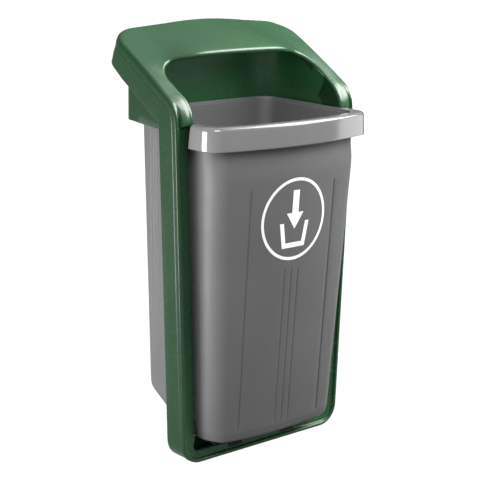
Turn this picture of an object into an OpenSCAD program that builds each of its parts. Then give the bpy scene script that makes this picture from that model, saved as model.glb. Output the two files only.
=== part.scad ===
// Wall-hung litter bin: a hooded surround in two mouldings, a container that
// tilts forward out of it, a key lock, and a steel wall rail.
// X to the right, Y towards the wall, Z up. The origin is on the wall plane,
// midway between the two wall holes of the rail.

/* [Surround] */
// Width of the surround across the hood
frame_w = 430; // [424:1:436]
// Width of the surround at its foot
foot_w = 384; // [376:1:392]
// Height of the corner where the upright face would meet the hood slope
nose_h = 664; // [660:1:670]
// Depth of the band that makes the surround
band_d = 51; // [50:0.5:54]
// Wall thickness of the mouldings
wall = 4.5; // [4:0.1:5]
// Outer corner radius at the foot
foot_r = 40; // [34:1:46]
// Depth of the front moulding, down to the seam
seam = 11; // [10:0.5:13]
// Width of the front flange round the container
flange = 21; // [18:0.5:22]

/* [Hood] */
// Length of the sloping roof along its slope
roof_l = 206; // [202:1:208]
// Rise of the roof's crown at the middle
crown = 35; // [33:1:38]
// Radius of the roof's rear corners in plan
roof_r = 52; // [46:1:56]
// Half width of the mouth between the arms
mouth_hw = 172.5; // [171:0.5:174]
// Distance from the bend to the mouth's top edge, along the slope
mouth_s = 78; // [74:1:84]
// Half width of the box behind the band
box_hw = 183; // [182:0.5:185]
// Lowest edge of the box behind the band
box_z = 612; // [608:1:616]

/* [Container] */
// Underside of the container above the foot
base_z = 42; // [40:1:44]
// Top of the front rim
rim_z = 635.5; // [633:0.5:636]
// Height of the front rim band
rim_h = 43; // [38:1:46]
// Half width of the rim
rim_hw = 192; // [188:1:194]
// How far the rim stands in front of the surround
rim_y = 93; // [88:1:96]
// Wall thickness of the container
skin = 4; // [3:0.5:4.5]

/* [Pivot and lock] */
// Diameter of the pivot pins
pin_d = 10; // [8:1:12]
// Diameter of the lock barrel
barrel_d = 19; // [18:0.5:20]

/* [Wall rail] */
// Width of the rail
rail_w = 70; // [60:2:80]
// Thickness of the rail
rail_t = 5; // [4:0.5:5]
// Distance between the wall holes
hole_gap = 360; // [340:10:380]
// Diameter of the wall holes
hole_d = 9; // [7:0.5:11]

/* [Hidden] */

e = 0.01;
hw_top = frame_w/2;
hw_bot = foot_w/2;
slope_a = 30;
bend_r = band_d + 5;
bend_z = nose_h - bend_r*tan((90 - slope_a)/2);
taper = atan((hw_top - hw_bot)/bend_z);
box_y = 199;                       // rear face of the box
wall_y = box_y + rail_t;           // wall plane
org_z = 380;                       // height of the origin above the foot
dome_ra = 430;
dome_rb = (hw_top*hw_top + crown*crown)/(2*crown);
dome_tilt = 25;
dome_fall = 7.2;
back_y = wall_y - 0.5;             // flat rear face of the roof and band

// container plan, bottom (b) and top (t)
top_z = 640;
yf_b = -47;  yf_t = -86;           // middle of the front
yr_b = 180;  yr_t = 190;           // rear
hf_b = 154.5;  hf_t = 177;           // half width at the front corners
hr_b = 150;  hr_t = 163;           // half width at the rear corners
bow_r = 640;
cor_f = 40;
cor_r = 36;
lean = atan((yf_b - yf_t)/(top_z - base_z));

piv_y = 25;
piv_z = 62;
lock_y = 26;
lock_z = 575;
lock_x = hw_bot + lock_z*tan(taper) + 1;   // flat face of the lock's pad
nose_z = 636.5;                            // lower end of the noses
bolt_z = 630;                              // height of the hood bolts
label_z = 455;

green  = [0.26, 0.43, 0.32];
grey   = [0.47, 0.47, 0.48];
steel  = [0.72, 0.73, 0.74];
black  = [0.10, 0.10, 0.10];

function arcp(cx, cy, r, a0, a1, n) =
    [for (i = [0:n]) let (a = a0 + (a1 - a0)*i/n) [cx + r*cos(a), cy + r*sin(a)]];

function mixf(a, b, t) = a + (b - a)*t;
function hw(z) = hw_bot + z*tan(taper);

// outline of the upright frame, inset by o and cut level at zt
function u_out(o, zt) =
    let (r = max(foot_r - o, 6), hb = hw_bot - o/cos(taper), cz = o + r,
         cx = hb + cz*tan(taper) - r/cos(taper), x1 = hb + zt*tan(taper))
    concat([[-x1, zt]], arcp(-cx, cz, r, 180 + taper, 270, 10),
           arcp(cx, cz, r, -90, -taper, 10), [[x1, zt]]);

// outline of the roof in its own plane, inset by o
function roof_out(o, s0 = 0) =
    let (r = roof_r - o, x = hw_top - o, s = roof_l - o)
    concat([[-x, s0], [x, s0]], arcp(x - r, s - r, r, 0, 90, 12),
           arcp(-x + r, s - r, r, 90, 180, 12));

// outline of the mouth in the roof's plane, grown by o
function mouth_out(o) =
    let (r = 40 + o, x = mouth_hw + o, s = mouth_s + o)
    concat([[-x, -120], [x, -120]], arcp(x - r, s - r, r, 0, 90, 12),
           arcp(-x + r, s - r, r, 90, 180, 12));

// right half of a container plan
function plan_half(o, hf, hr, yf, yr, rf, rr) =
    let (r = rf - o, xc = hf - o - r, yb = yf + bow_r,
         yc = yb - sqrt(pow(bow_r - o - r, 2) - xc*xc),
         a = atan2(yc - yb, xc), q = rr - o)
    concat(arcp(0, yb, bow_r - o, -90, a, 10),
           [for (p = arcp(xc, yc, r, a, 5, 10)) p],
           arcp(hr - o - q, yr - o - q, q, 5, 90, 10));
function plan(o, hf, hr, yf, yr, rf, rr) =
    let (p = plan_half(o, hf, hr, yf, yr, rf, rr))
    concat(p, [for (i = [len(p) - 1:-1:1]) [-p[i][0], p[i][1]]]);
function plan_at(o, z) =
    let (t = (z - base_z)/(top_z - base_z))
    plan(o, mixf(hf_b, hf_t, t), mixf(hr_b, hr_t, t), mixf(yf_b, yf_t, t),
         mixf(yr_b, yr_t, t), cor_f, cor_r);
// outer side of the container at depth y and height z
function side_x(y, z) =
    let (t = (z - base_z)/(top_z - base_z))
    mixf(mixf(hf_b, hf_t, t), mixf(hr_b, hr_t, t), (y + 25)/165);

// --- placing ---------------------------------------------------------------
module place() translate([0, -wall_y, -org_z]) children();
// a drawing in X and Z, given depth from y0 to y1
module upright(y0, y1) translate([0, y1, 0]) rotate([90, 0, 0]) linear_extrude(y1 - y0) children();
// a drawing in Y and Z, given a width about X = 0
module across(w) translate([-w/2, 0, 0]) rotate([90, 0, 90]) linear_extrude(w) children();
// a profile of radius and X, turned through the bend
module bend() translate([0, bend_r, bend_z]) rotate([90, 0, -90])
    rotate_extrude(angle = 90 - slope_a, $fn = 96) children();
// the roof's own plane: X, distance along the slope, outward
module on_roof() translate([0, bend_r*(1 - sin(slope_a)), bend_z + bend_r*cos(slope_a)])
    rotate([slope_a, 0, 0]) children();
// cylinder along +Y or +X from a point
module rod_y(x, y0, y1, z, r, fn = 40) translate([x, y0, z]) rotate([-90, 0, 0]) cylinder(r = r, h = y1 - y0, $fn = fn);
module rod_x(x0, x1, y, z, r, fn = 40) translate([x0, y, z]) rotate([0, 90, 0]) cylinder(r = r, h = x1 - x0, $fn = fn);
module both() { children(); mirror([1, 0, 0]) children(); }

// --- surround ----------------------------------------------------------------
leg_screws = [[120, 1], [330, 1], [540, 1]];
boss_in = 11;
module leg_bosses(y0, y1, r) both() {
    for (s = leg_screws) rod_y(hw(s[0]) - boss_in, y0, y1, s[0], r);
    rod_y(95, y0, y1, boss_in, r);
}
module roof_bosses(n0, n1, r) on_roof() both()
    for (s = [45, 120]) translate([hw_top - boss_in, s, -n1]) cylinder(r = r, h = n1 - n0, $fn = 40);

module dome(t) intersection() {
    rotate([dome_tilt, 0, 0]) translate([0, -60, -dome_ra]) rotate([-90, 0, 0])
        cylinder(r = dome_ra - t, h = 420, $fn = 240);
    translate([0, mouth_s, crown - dome_rb]) rotate([-dome_fall, 0, 0]) translate([0, -140, 0]) rotate([-90, 0, 0])
        cylinder(r = dome_rb - t, h = 420, $fn = 240);
}
// everything in front of depth y
module before(y) translate([-400, y - 900, 0]) cube([800, 900, 1000]);
module roof_skin() difference() {
    intersection() {
        on_roof() union() {
            translate([0, 0, -seam]) linear_extrude(seam) polygon(roof_out(-1));
            intersection() {
                dome(0);
                translate([0, 0, -1]) linear_extrude(crown + 5) polygon(roof_out(-1));
            }
        }
        before(back_y);
    }
    intersection() {
        on_roof() difference() {
            union() {
                translate([0, 0, -60]) linear_extrude(60 - wall) polygon(roof_out(4, -1));
                intersection() {
                    dome(wall);
                    translate([0, 0, -wall - 1]) linear_extrude(crown + 10) polygon(roof_out(4, -1));
                }
            }
            translate([0, 0, -seam]) linear_extrude(80) difference() {
                polygon(mouth_out(3.5));
                polygon(mouth_out(-1));
            }
        }
        before(back_y - wall);
    }
    on_roof() translate([0, 0, -70]) linear_extrude(140) polygon(mouth_out(0));
}
module nose_profile() {
    translate([bend_r - wall, mouth_hw]) square([wall, hw_top + 1 - mouth_hw]);
    translate([bend_r - seam, hw_top - 4]) square([seam, 5]);
    translate([bend_r - seam, mouth_hw]) square([seam, 3.5]);
}
module front_frame() color(green) place() difference() {
    union() {
        upright(0, seam) difference() { polygon(u_out(-1, bend_z + 0.4)); polygon(u_out(4, bend_z + 1)); }
        upright(1.5, 1.5 + wall) difference() { polygon(u_out(0, bend_z + 0.4)); polygon(u_out(flange, bend_z + 1)); }
        bend() { nose_profile(); mirror([0, 1]) nose_profile(); }
        roof_skin();
        leg_bosses(1.5 + wall - 1, band_d - wall - 0.3, 4.5);
        roof_bosses(wall - 1, band_d - wall - 0.3, 4.5);
        both() translate([mouth_hw, 0.8, nose_z - 1]) cube([hw_top - 2 - mouth_hw, seam - 0.8, 4.5]);
    }
    // room under the noses for the rim
    translate([-190, -20, nose_z - 60]) cube([380, 60, 60]);
    leg_bosses(16, 60, 2);
    roof_bosses(16, 60, 2);
}
module shell_profile() {
    translate([bend_r - band_d, hw_top - wall]) square([band_d - seam, wall]);
    translate([bend_r - band_d, box_hw - wall]) square([wall, hw_top - box_hw + wall]);
}
function box_out(o, y0) =
    let (r = 20 - o, x = box_hw - o, y = box_y - o)
    concat([[-x, y0], [x, y0]], arcp(x - r, y - r, r, 0, 90, 8), arcp(-x + r, y - r, r, 90, 180, 8));
module hood_shell() color(green) place() difference() {
    union() {
        upright(seam, band_d) difference() { polygon(u_out(0, bend_z)); polygon(u_out(wall, bend_z + 1)); }
        upright(band_d - wall, band_d) difference() {
            polygon(u_out(0, bend_z));
            polygon([[-158, 30], [158, 30], [box_hw - wall, bend_z + 1], [-box_hw + wall, bend_z + 1]]);
        }
        bend() { shell_profile(); mirror([0, 1]) shell_profile(); }
        rod_x(lock_x - 7.5, lock_x, lock_y, lock_z, 14, 64);
        intersection() {
            on_roof() union() {
                translate([0, 0, -band_d]) linear_extrude(band_d - seam) difference() {
                    polygon(roof_out(0));
                    polygon(roof_out(wall, -1));
                }
                translate([0, 0, -band_d]) linear_extrude(wall) difference() {
                    polygon(roof_out(0));
                    translate([-box_hw + wall, -1]) square([2*(box_hw - wall), 165]);
                }
            }
            before(back_y);
        }
        // flat rear wall of the band
        intersection() {
            on_roof() translate([0, 0, -band_d]) linear_extrude(band_d - seam) polygon(roof_out(0));
            translate([-300, back_y - wall, 600]) cube([600, wall, 400]);
        }
        intersection() {
            translate([0, 0, box_z - 5]) linear_extrude(140) difference() {
                polygon(box_out(0, band_d - wall));
                polygon(box_out(wall, band_d - wall - 1));
            }
            across(400) polygon([[0, box_z - 3], [210, box_z + 9.5], [210, 800], [0, 800]]);
            on_roof() translate([-300, -200, -band_d - 400]) cube([600, 600, 400 + wall - 0.5]);
        }
    }
    leg_bosses(40, 60, 2.2);
    roof_bosses(40, 60, 2.2);
    rod_x(lock_x - 20, lock_x + 5, lock_y, lock_z, barrel_d/2 + 0.05, 64);
    both() rod_y(22, box_y - 10, box_y + 1, bolt_z, 4.3);
    both() translate([22, box_y - wall - e, bolt_z]) rotate([-90, 0, 0]) cylinder(r1 = 7.2, r2 = 4.3, h = 4, $fn = 48);
    both() rod_y(20, band_d - 10, band_d + 1, 16, 3.3);
    // slots for the bracket screws, drilled in the web
    both() for (z = [44, 80]) rod_y(178, band_d - 10, band_d + 1, z, 2.2);
}
module pan_screw(len) {
    cylinder(r = 3.9, h = 2.6, $fn = 40);
    translate([0, 0, -len]) cylinder(r = 1.95, h = len + e, $fn = 32);
}
module frame_screws() color(steel) place() {
    both() {
        for (s = leg_screws) translate([hw(s[0]) - boss_in, band_d, s[0]]) rotate([-90, 0, 0]) pan_screw(28);
        translate([95, band_d, boss_in]) rotate([-90, 0, 0]) pan_screw(28);
        on_roof() for (s = [45, 120]) translate([hw_top - boss_in, s, -band_d]) rotate([180, 0, 0]) pan_screw(28);
    }
}

// --- container -----------------------------------------------------------------
module tub(o) hull() {
    translate([0, 0, base_z]) linear_extrude(e) polygon(plan_at(o, base_z));
    translate([0, 0, top_z + 2]) linear_extrude(e) polygon(plan_at(o, top_z + 2));
}
module tub_side(o) across(420)
    polygon([[-140, base_z + o], [50 - 0.35*o, base_z + o], [230 - 0.35*o, base_z + o + 180*tan(38.5)],
             [230, top_z + 1.5 + (o > 0 ? 20 : 0)], [-16, rim_z + (o > 0 ? 20 : 0)], [-140, rim_z + (o > 0 ? 20 : 0)]]);
function rim_plan(o) = plan(o, rim_hw, rim_hw - 4, -rim_y, 200, 34, cor_r);
module front_of(y) translate([-300, -300]) square([600, 300 + y]);
module container() color(grey) place() difference() {
    union() {
        intersection() { tub(0); tub_side(0); }
        difference() {
            translate([0, 0, rim_z - rim_h]) linear_extrude(rim_h) intersection() { polygon(rim_plan(0)); front_of(-8); }
            difference() {
                translate([0, 0, rim_z - rim_h - 1]) linear_extrude(rim_h + 1 - 4) intersection() { polygon(rim_plan(skin)); front_of(-12); }
                tub(0);
            }
        }
    }
    intersection() { tub(skin); tub_side(skin); }
    both() for (y = [-20, 15]) translate([90, y, base_z - 5]) cylinder(r = 4, h = 20, $fn = 32);
}
// plain round sign: a ring, an open bin and an arrow down into it
module sign2d() {
    difference() { circle(r = 77, $fn = 120); circle(r = 71.5, $fn = 120); }
    polygon([[-35, -6], [-27, -53], [27, -53], [35, -6], [26, -6], [19.5, -44], [-19.5, -44], [-26, -6]]);
    polygon([[-7.5, 54], [7.5, 54], [7.5, 12], [20, 12], [0, -18], [-20, 12], [-7.5, 12]]);
}
module label() color("white") place() intersection() {
    translate([0, yf_b + bow_r/cos(lean), base_z]) rotate([lean, 0, 0]) difference() {
        cylinder(r = bow_r + 0.4, h = 800, $fn = 360);
        translate([0, 0, -1]) cylinder(r = bow_r - 0.15, h = 802, $fn = 360);
    }
    translate([0, -40, label_z]) rotate([90, 0, 0]) linear_extrude(60) sign2d();
}

// --- pivot -------------------------------------------------------------------
cup_x = 163;
module pivot_cups() color(black) place() both() difference() {
    rod_x(side_x(piv_y, piv_z) - 2, cup_x, piv_y, piv_z, 14);
    rod_x(side_x(piv_y, piv_z) + 1.5, cup_x + 1, piv_y, piv_z, pin_d/2 + 0.05);
}
module pivot_pins() color(steel) place() both() {
    rod_x(side_x(piv_y, piv_z) + 2, cup_x + 4.5, piv_y, piv_z, pin_d/2);
    rod_x(cup_x + 4, cup_x + 7, piv_y, piv_z, 8);
}
module pivot_brackets() color(steel) place() both() difference() {
    union() {
        translate([cup_x + 1, piv_y - 13, 34]) cube([3, band_d - wall - piv_y + 13, 56]);
        translate([cup_x + 1, band_d - wall - 3, 34]) cube([23, 3, 56]);
    }
    rod_x(cup_x, cup_x + 6, piv_y, piv_z, pin_d/2);
    for (z = [44, 80]) rod_y(178, 30, 50, z, 2.2);
}
module bracket_screws() color(steel) place() both() for (z = [44, 80]) {
    rod_y(178, band_d - wall - 5.6, band_d - wall - 3, z, 3.9);
    rod_y(178, band_d - wall - 3.1, band_d + 2, z, 1.95);
}
module tilt_stops() color(black) place() both()
    translate([48, 1.5 + wall, 8]) cube([34, 9, 19]);
module back_buffers() color(black) place() both() difference() {
    rod_y(105, 190.6, box_y - wall, 628, 9);
    rod_y(105, 190, 192, 628, 3);
}

// --- lock ----------------------------------------------------------------------
bar_r = barrel_d/2;
lock_in = lock_x - 30;
module lock_body() color(steel) place() difference() {
    union() {
        rod_x(lock_in, lock_x + e, lock_y, lock_z, bar_r, 64);
        rod_x(lock_x, lock_x + 2.5, lock_y, lock_z, 12.5, 64);
    }
    rod_x(lock_in - 1, lock_x + 5, lock_y, lock_z, 7.05, 64);
}
module lock_nut() color(steel) place() difference() {
    rod_x(lock_x - 12.5, lock_x - 7.5, lock_y, lock_z, 14, 6);
    rod_x(lock_x - 14, lock_x, lock_y, lock_z, bar_r + 0.02, 64);
}
module lock_plug() color(steel) place() difference() {
    union() {
        rod_x(lock_in, lock_x + 1.7, lock_y, lock_z, 7, 64);
        rod_x(lock_in - 2.8, lock_in + e, lock_y, lock_z, 4, 40);
    }
    rod_x(lock_x - 4.3, lock_x + 3, lock_y, lock_z, 5.2, 3);
    rod_x(lock_in - 4, lock_in + 4, lock_y, lock_z, 2.02, 32);
}
module lock_cam() color(steel) place() difference() {
    union() {
        rod_x(lock_in - 2.8, lock_in - 0.3, lock_y, lock_z, 8.5);
        translate([lock_in - 2.8, lock_y - 14, lock_z - 5]) cube([2.5, 14, 10]);
        rod_x(lock_in - 2.8, lock_in - 0.3, lock_y - 14, lock_z, 5);
    }
    rod_x(lock_in - 4, lock_in + 1, lock_y, lock_z, 4.0);
}
module cam_screw() color(steel) place() {
    rod_x(lock_in - 5, lock_in - 2.8, lock_y, lock_z, 6);
    rod_x(lock_in - 3, lock_in + 3.5, lock_y, lock_z, 2, 32);
}
strike_x = side_x(24, 555);
module strike_plate() color(steel) place() difference() {
    union() {
        translate([strike_x - 1.5, 12, 540]) cube([3.7, 23.5, 26]);
        translate([strike_x - 1.5, 32.5, 544]) cube([lock_in + 2 - strike_x + 1.5, 3, 20]);
    }
    for (z = [546, 560]) rod_x(strike_x - 4, strike_x + 5, 20, z, 2.5);
}
module strike_rivets() color(steel) place() for (z = [546, 560]) {
    rod_x(strike_x - 5, strike_x + 2.3, 20, z, 2.48);
    rod_x(strike_x + 2.2, strike_x + 4, 20, z, 4.2);
}

// --- wall rail -------------------------------------------------------------------
module wall_rail() color(steel) place() difference() {
    across(rail_w) polygon([[box_y, 714], [wall_y, 714], [wall_y, 126], [band_d + rail_t, 24.5],
        [band_d + rail_t, 6], [band_d, 6], [band_d, 28], [box_y, 129]]);
    for (s = [-1, 1]) rod_y(0, box_y - 5, wall_y + 5, org_z + s*hole_gap/2, hole_d/2, 48);
    both() rod_y(22, box_y - 5, wall_y + 5, bolt_z, 4.05);
    both() rod_y(20, band_d - 5, band_d + rail_t + 3, 16, 3.3);
}
module hood_bolts() color(steel) place() both() difference() {
    union() {
        translate([22, box_y - wall, bolt_z]) rotate([-90, 0, 0]) cylinder(r1 = 6.9, r2 = 4, h = 4, $fn = 48);
        rod_y(22, box_y - wall + 3, wall_y - 0.5, bolt_z, 4);
    }
    rod_y(22, box_y - wall - 1, box_y - wall + 2.6, bolt_z, 2.9, 6);
}
module hood_washers() color(steel) place() both() difference() {
    rod_y(22, box_y - wall - 0.8, box_y - wall, bolt_z, 8.8);
    rod_y(22, box_y - wall - 2, box_y - wall + 1, bolt_z, 7.2);
}
module foot_bolts() color(steel) place() both() {
    rod_y(20, band_d - wall - 4, band_d - wall, 16, 5.7, 6);
    rod_y(20, band_d - wall - e, band_d + rail_t + 8.5, 16, 3);
}
module foot_washers() color(steel) place() both() difference() {
    rod_y(20, band_d + rail_t, band_d + rail_t + 1.6, 16, 6.2);
    rod_y(20, band_d + rail_t - 1, band_d + rail_t + 3, 16, 3.2);
}
module foot_nuts() color(steel) place() both() difference() {
    rod_y(20, band_d + rail_t + 1.6, band_d + rail_t + 6.6, 16, 5.7, 6);
    rod_y(20, band_d + rail_t, band_d + rail_t + 8, 16, 3.03);
}

front_frame();
hood_shell();
frame_screws();
container();
label();
pivot_cups();
pivot_pins();
pivot_brackets();
bracket_screws();
tilt_stops();
back_buffers();
lock_body();
lock_nut();
lock_plug();
lock_cam();
cam_screw();
strike_plate();
strike_rivets();
wall_rail();
hood_bolts();
hood_washers();
foot_bolts();
foot_washers();
foot_nuts();
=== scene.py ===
import math

import bmesh
import bpy
import numpy as np
from mathutils import Matrix, Quaternion, Vector


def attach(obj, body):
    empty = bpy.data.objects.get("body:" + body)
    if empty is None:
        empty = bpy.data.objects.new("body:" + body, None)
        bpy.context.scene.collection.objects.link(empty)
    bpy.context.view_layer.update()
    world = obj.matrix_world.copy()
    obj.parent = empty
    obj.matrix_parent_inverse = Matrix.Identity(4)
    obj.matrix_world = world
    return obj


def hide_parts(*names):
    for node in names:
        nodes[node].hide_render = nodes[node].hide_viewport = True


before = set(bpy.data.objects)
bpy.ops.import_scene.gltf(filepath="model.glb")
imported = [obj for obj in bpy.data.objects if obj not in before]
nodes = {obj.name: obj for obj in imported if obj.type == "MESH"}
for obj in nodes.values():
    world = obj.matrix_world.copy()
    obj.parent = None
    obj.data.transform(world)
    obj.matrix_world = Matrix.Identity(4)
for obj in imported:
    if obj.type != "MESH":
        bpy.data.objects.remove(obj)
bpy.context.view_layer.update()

scene = bpy.context.scene

# ---------------------------------------------------------------------------
# Shapes are worked out in millimetres with the front lip at Y = 0 and the foot
# at Z = 0, then shifted to the shared frame (wall plane, middle of the rail).
# ---------------------------------------------------------------------------
SHIFT = np.array([0.0, -204.0, -380.0])


def metres(p):
    return (np.asarray(p, float) + SHIFT) / 1000.0


def ramp(a, b, v):
    t = np.clip((np.asarray(v, float) - a) / (b - a), 0.0, 1.0)
    return t * t * (3.0 - 2.0 * t)


# ---------------------------------------------------------------------------
# Materials
# ---------------------------------------------------------------------------
class Mat:
    def __init__(self, name):
        self.m = bpy.data.materials.new(name)
        self.m.use_nodes = True
        self.t = self.m.node_tree
        self.b = self.t.nodes["Principled BSDF"]
        self.tc = self.t.nodes.new("ShaderNodeTexCoord")

    def link(self, a, b):
        self.t.links.new(a, b)

    def noise(self, scale, detail=3.0, rough=0.55, stretch=None):
        n = self.t.nodes.new("ShaderNodeTexNoise")
        n.inputs["Scale"].default_value = scale
        n.inputs["Detail"].default_value = detail
        n.inputs["Roughness"].default_value = rough
        src = self.tc.outputs["Object"]
        if stretch:
            mp = self.t.nodes.new("ShaderNodeMapping")
            mp.inputs["Scale"].default_value = stretch
            self.link(src, mp.inputs["Vector"])
            src = mp.outputs["Vector"]
        self.link(src, n.inputs["Vector"])
        return n.outputs["Fac"]

    def cells(self, scale, stretch=None):
        n = self.t.nodes.new("ShaderNodeTexVoronoi")
        n.inputs["Scale"].default_value = scale
        self.link(self.tc.outputs["Object"], n.inputs["Vector"])
        return n

    def colours(self, fac, stops):
        r = self.t.nodes.new("ShaderNodeValToRGB")
        els = r.color_ramp.elements
        while len(els) < len(stops):
            els.new(0.5)
        for e, (pos, col) in zip(els, stops):
            e.position = pos
            e.color = (*col, 1.0)
        self.link(fac, r.inputs["Fac"])
        return r.outputs["Color"]

    def span(self, fac, lo, hi, a=0.3, b=0.7):
        r = self.t.nodes.new("ShaderNodeMapRange")
        r.inputs["From Min"].default_value = a
        r.inputs["From Max"].default_value = b
        r.inputs["To Min"].default_value = lo
        r.inputs["To Max"].default_value = hi
        self.link(fac, r.inputs["Value"])
        return r.outputs["Result"]

    def bump(self, height, strength, distance, under=None):
        n = self.t.nodes.new("ShaderNodeBump")
        n.inputs["Strength"].default_value = strength
        n.inputs["Distance"].default_value = distance
        self.link(height, n.inputs["Height"])
        if under is not None:
            self.link(under, n.inputs["Normal"])
        return n.outputs["Normal"]

    def set(self, socket, value):
        if hasattr(value, "links") or hasattr(value, "is_linked"):
            self.link(value, self.b.inputs[socket])
        else:
            self.b.inputs[socket].default_value = value


def plastic(name, dark, mid, light, rough, grain, grain_size, spec, wave=0.0):
    k = Mat(name)
    k.set("Base Color", k.colours(k.noise(9.0, 4.0, 0.6), [(0.30, dark), (0.5, mid), (0.72, light)]))
    k.set("Roughness", k.span(k.noise(38.0, 4.0, 0.65), rough[0], rough[1]))
    nrm = None
    if wave:
        nrm = k.bump(k.noise(14.0, 1.0, 0.4), wave, 0.002)
    k.set("Normal", k.bump(k.noise(grain_size, 2.0, 0.5), grain, 0.0003, nrm))
    k.set("Specular IOR Level", spec)
    return k.m


def metal(name, dark, light, rough, scale, stretch=None, cells=0.0):
    k = Mat(name)
    if cells:
        v = k.cells(cells)
        k.set("Base Color", k.colours(v.outputs["Color"], [(0.15, dark), (0.85, light)]))
        k.set("Roughness", k.span(v.outputs["Color"], rough[0], rough[1], 0.0, 1.0))
    else:
        n = k.noise(scale, 4.0, 0.6, stretch)
        k.set("Base Color", k.colours(n, [(0.3, dark), (0.7, light)]))
        k.set("Roughness", k.span(n, rough[0], rough[1]))
    k.set("Normal", k.bump(k.noise(scale * 4.0, 3.0, 0.6, stretch), 0.08, 0.0002))
    k.set("Metallic", 1.0)
    return k.m


green = plastic("green_moulded_plastic", (0.0122, 0.061, 0.0212), (0.0136, 0.067, 0.0235), (0.0150, 0.073, 0.0260),
                (0.22, 0.30), 0.02, 2200.0, 0.50, 0.04)
grey = plastic("grey_textured_plastic", (0.052, 0.052, 0.053), (0.055, 0.055, 0.056), (0.059, 0.059, 0.060),
               (0.52, 0.62), 0.08, 1800.0, 0.32, 0.04)
grey_rim = plastic("grey_smooth_plastic", (0.090, 0.090, 0.091), (0.095, 0.095, 0.096), (0.100, 0.100, 0.101),
                   (0.10, 0.16), 0.02, 1800.0, 0.55, 0.03)
film = plastic("white_film", (0.90, 0.90, 0.90), (0.93, 0.93, 0.93), (0.95, 0.95, 0.95), (0.32, 0.42), 0.04, 900.0, 0.4)
nylon = plastic("black_nylon", (0.014, 0.014, 0.015), (0.020, 0.020, 0.021), (0.028, 0.028, 0.029), (0.38, 0.50), 0.15, 900.0, 0.45)
rubber = plastic("black_rubber", (0.012, 0.012, 0.012), (0.020, 0.019, 0.019), (0.032, 0.031, 0.030), (0.70, 0.88), 0.35, 700.0, 0.3)
# painted shade: a near-black steel finish for the pivot brackets, pivot pins and bracket screws, so they read as the
# dark shade of the gap they sit in
shade_black_steel = plastic("black_steel_painted_shade", (0.008, 0.008, 0.008), (0.011, 0.011, 0.011), (0.015, 0.015, 0.015), (0.42, 0.55), 0.10, 900.0, 0.4)
galv = metal("galvanised_steel", (0.42, 0.44, 0.46), (0.66, 0.68, 0.70), (0.34, 0.52), 60.0, None, 85.0)
zinc = metal("zinc_plated_steel", (0.50, 0.51, 0.53), (0.68, 0.69, 0.71), (0.24, 0.38), 160.0)
chrome = metal("lock_metal", (0.52, 0.52, 0.53), (0.66, 0.66, 0.67), (0.18, 0.30), 220.0, (1.0, 8.0, 1.0))
alloy = metal("rivet_alloy", (0.60, 0.60, 0.61), (0.74, 0.74, 0.75), (0.28, 0.42), 180.0)


# ---------------------------------------------------------------------------
# Mesh helpers
# ---------------------------------------------------------------------------
def raw_object(name, verts, faces):
    me = bpy.data.meshes.new(name)
    me.from_pydata([tuple(v) for v in metres(verts)], [], [tuple(int(i) for i in f) for f in faces])
    ob = bpy.data.objects.new(name, me)
    scene.collection.objects.link(ob)
    return ob


def settle(ob):
    """Turn the modifiers of a piece into its mesh."""
    bpy.context.view_layer.update()
    dg = bpy.context.evaluated_depsgraph_get()
    me = bpy.data.meshes.new_from_object(ob.evaluated_get(dg))
    old = ob.data
    ob.modifiers.clear()
    ob.data = me
    bpy.data.meshes.remove(old)


def solid_from_sheet(ob, thick, up_face):
    """Give a sheet thickness behind its outer side; up_face is (face index, outward direction)."""
    me = ob.data
    if me.polygons[up_face[0]].normal.dot(Vector(up_face[1])) < 0:
        me.flip_normals()
    md = ob.modifiers.new("thickness", "SOLIDIFY")
    md.thickness = thick
    md.offset = -1.0
    md.use_even_offset = False
    md.use_rim = True
    settle(ob)


def tidy(ob, angle=38.0, merge=True):
    bm = bmesh.new()
    bm.from_mesh(ob.data)
    if merge:
        bmesh.ops.remove_doubles(bm, verts=bm.verts, dist=2e-6)
    bmesh.ops.dissolve_degenerate(bm, edges=bm.edges, dist=1e-7)
    bmesh.ops.recalc_face_normals(bm, faces=bm.faces)
    bm.to_mesh(ob.data)
    bm.free()
    ob.data.shade_smooth()
    ob.data.set_sharp_from_angle(angle=math.radians(angle))


def join(keep, other):
    bm = bmesh.new()
    bm.from_mesh(keep.data)
    bm.from_mesh(other.data)
    bm.to_mesh(keep.data)
    bm.free()
    me = other.data
    bpy.data.objects.remove(other)
    bpy.data.meshes.remove(me)


def turned(name, centre, axis, profile, n=48):
    """Closed solid of revolution: profile is a list of (distance along axis, radius), ends on the axis or a ring."""
    axis = np.asarray(axis, float)
    u = np.array([0.0, 0.0, 1.0]) if abs(axis[2]) < 0.9 else np.array([1.0, 0.0, 0.0])
    u = np.cross(axis, u); u /= np.linalg.norm(u)
    w = np.cross(axis, u)
    verts, faces = [], []
    m = len(profile)
    for i in range(n):
        a = 2 * math.pi * i / n
        for d, r in profile:
            verts.append(np.asarray(centre) + axis * d + r * (u * math.cos(a) + w * math.sin(a)))
    for i in range(n):
        j = (i + 1) % n
        for k in range(m):
            l = (k + 1) % m
            faces.append((i * m + k, j * m + k, j * m + l, i * m + l))
    ob = raw_object(name, verts, faces)
    tidy(ob)
    return ob


def drill(name, centre, axis, d0, d1, r0, r1=None, n=48):
    r1 = r0 if r1 is None else r1
    axis = np.asarray(axis, float)
    u = np.array([0.0, 0.0, 1.0]) if abs(axis[2]) < 0.9 else np.array([1.0, 0.0, 0.0])
    u = np.cross(axis, u); u /= np.linalg.norm(u)
    w = np.cross(axis, u)
    verts, faces = [], []
    for d, r in ((d0, r0), (d1, r1)):
        for i in range(n):
            a = 2 * math.pi * (i + 0.5) / n
            verts.append(np.asarray(centre) + axis * d + r * (u * math.cos(a) + w * math.sin(a)))
    for i in range(n):
        j = (i + 1) % n
        faces.append((i, j, n + j, n + i))
    faces.append(tuple(range(n - 1, -1, -1)))
    faces.append(tuple(range(n, 2 * n)))
    ob = raw_object(name, verts, faces)
    bm = bmesh.new(); bm.from_mesh(ob.data)
    bmesh.ops.recalc_face_normals(bm, faces=bm.faces)
    bm.to_mesh(ob.data); bm.free()
    return ob


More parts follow.
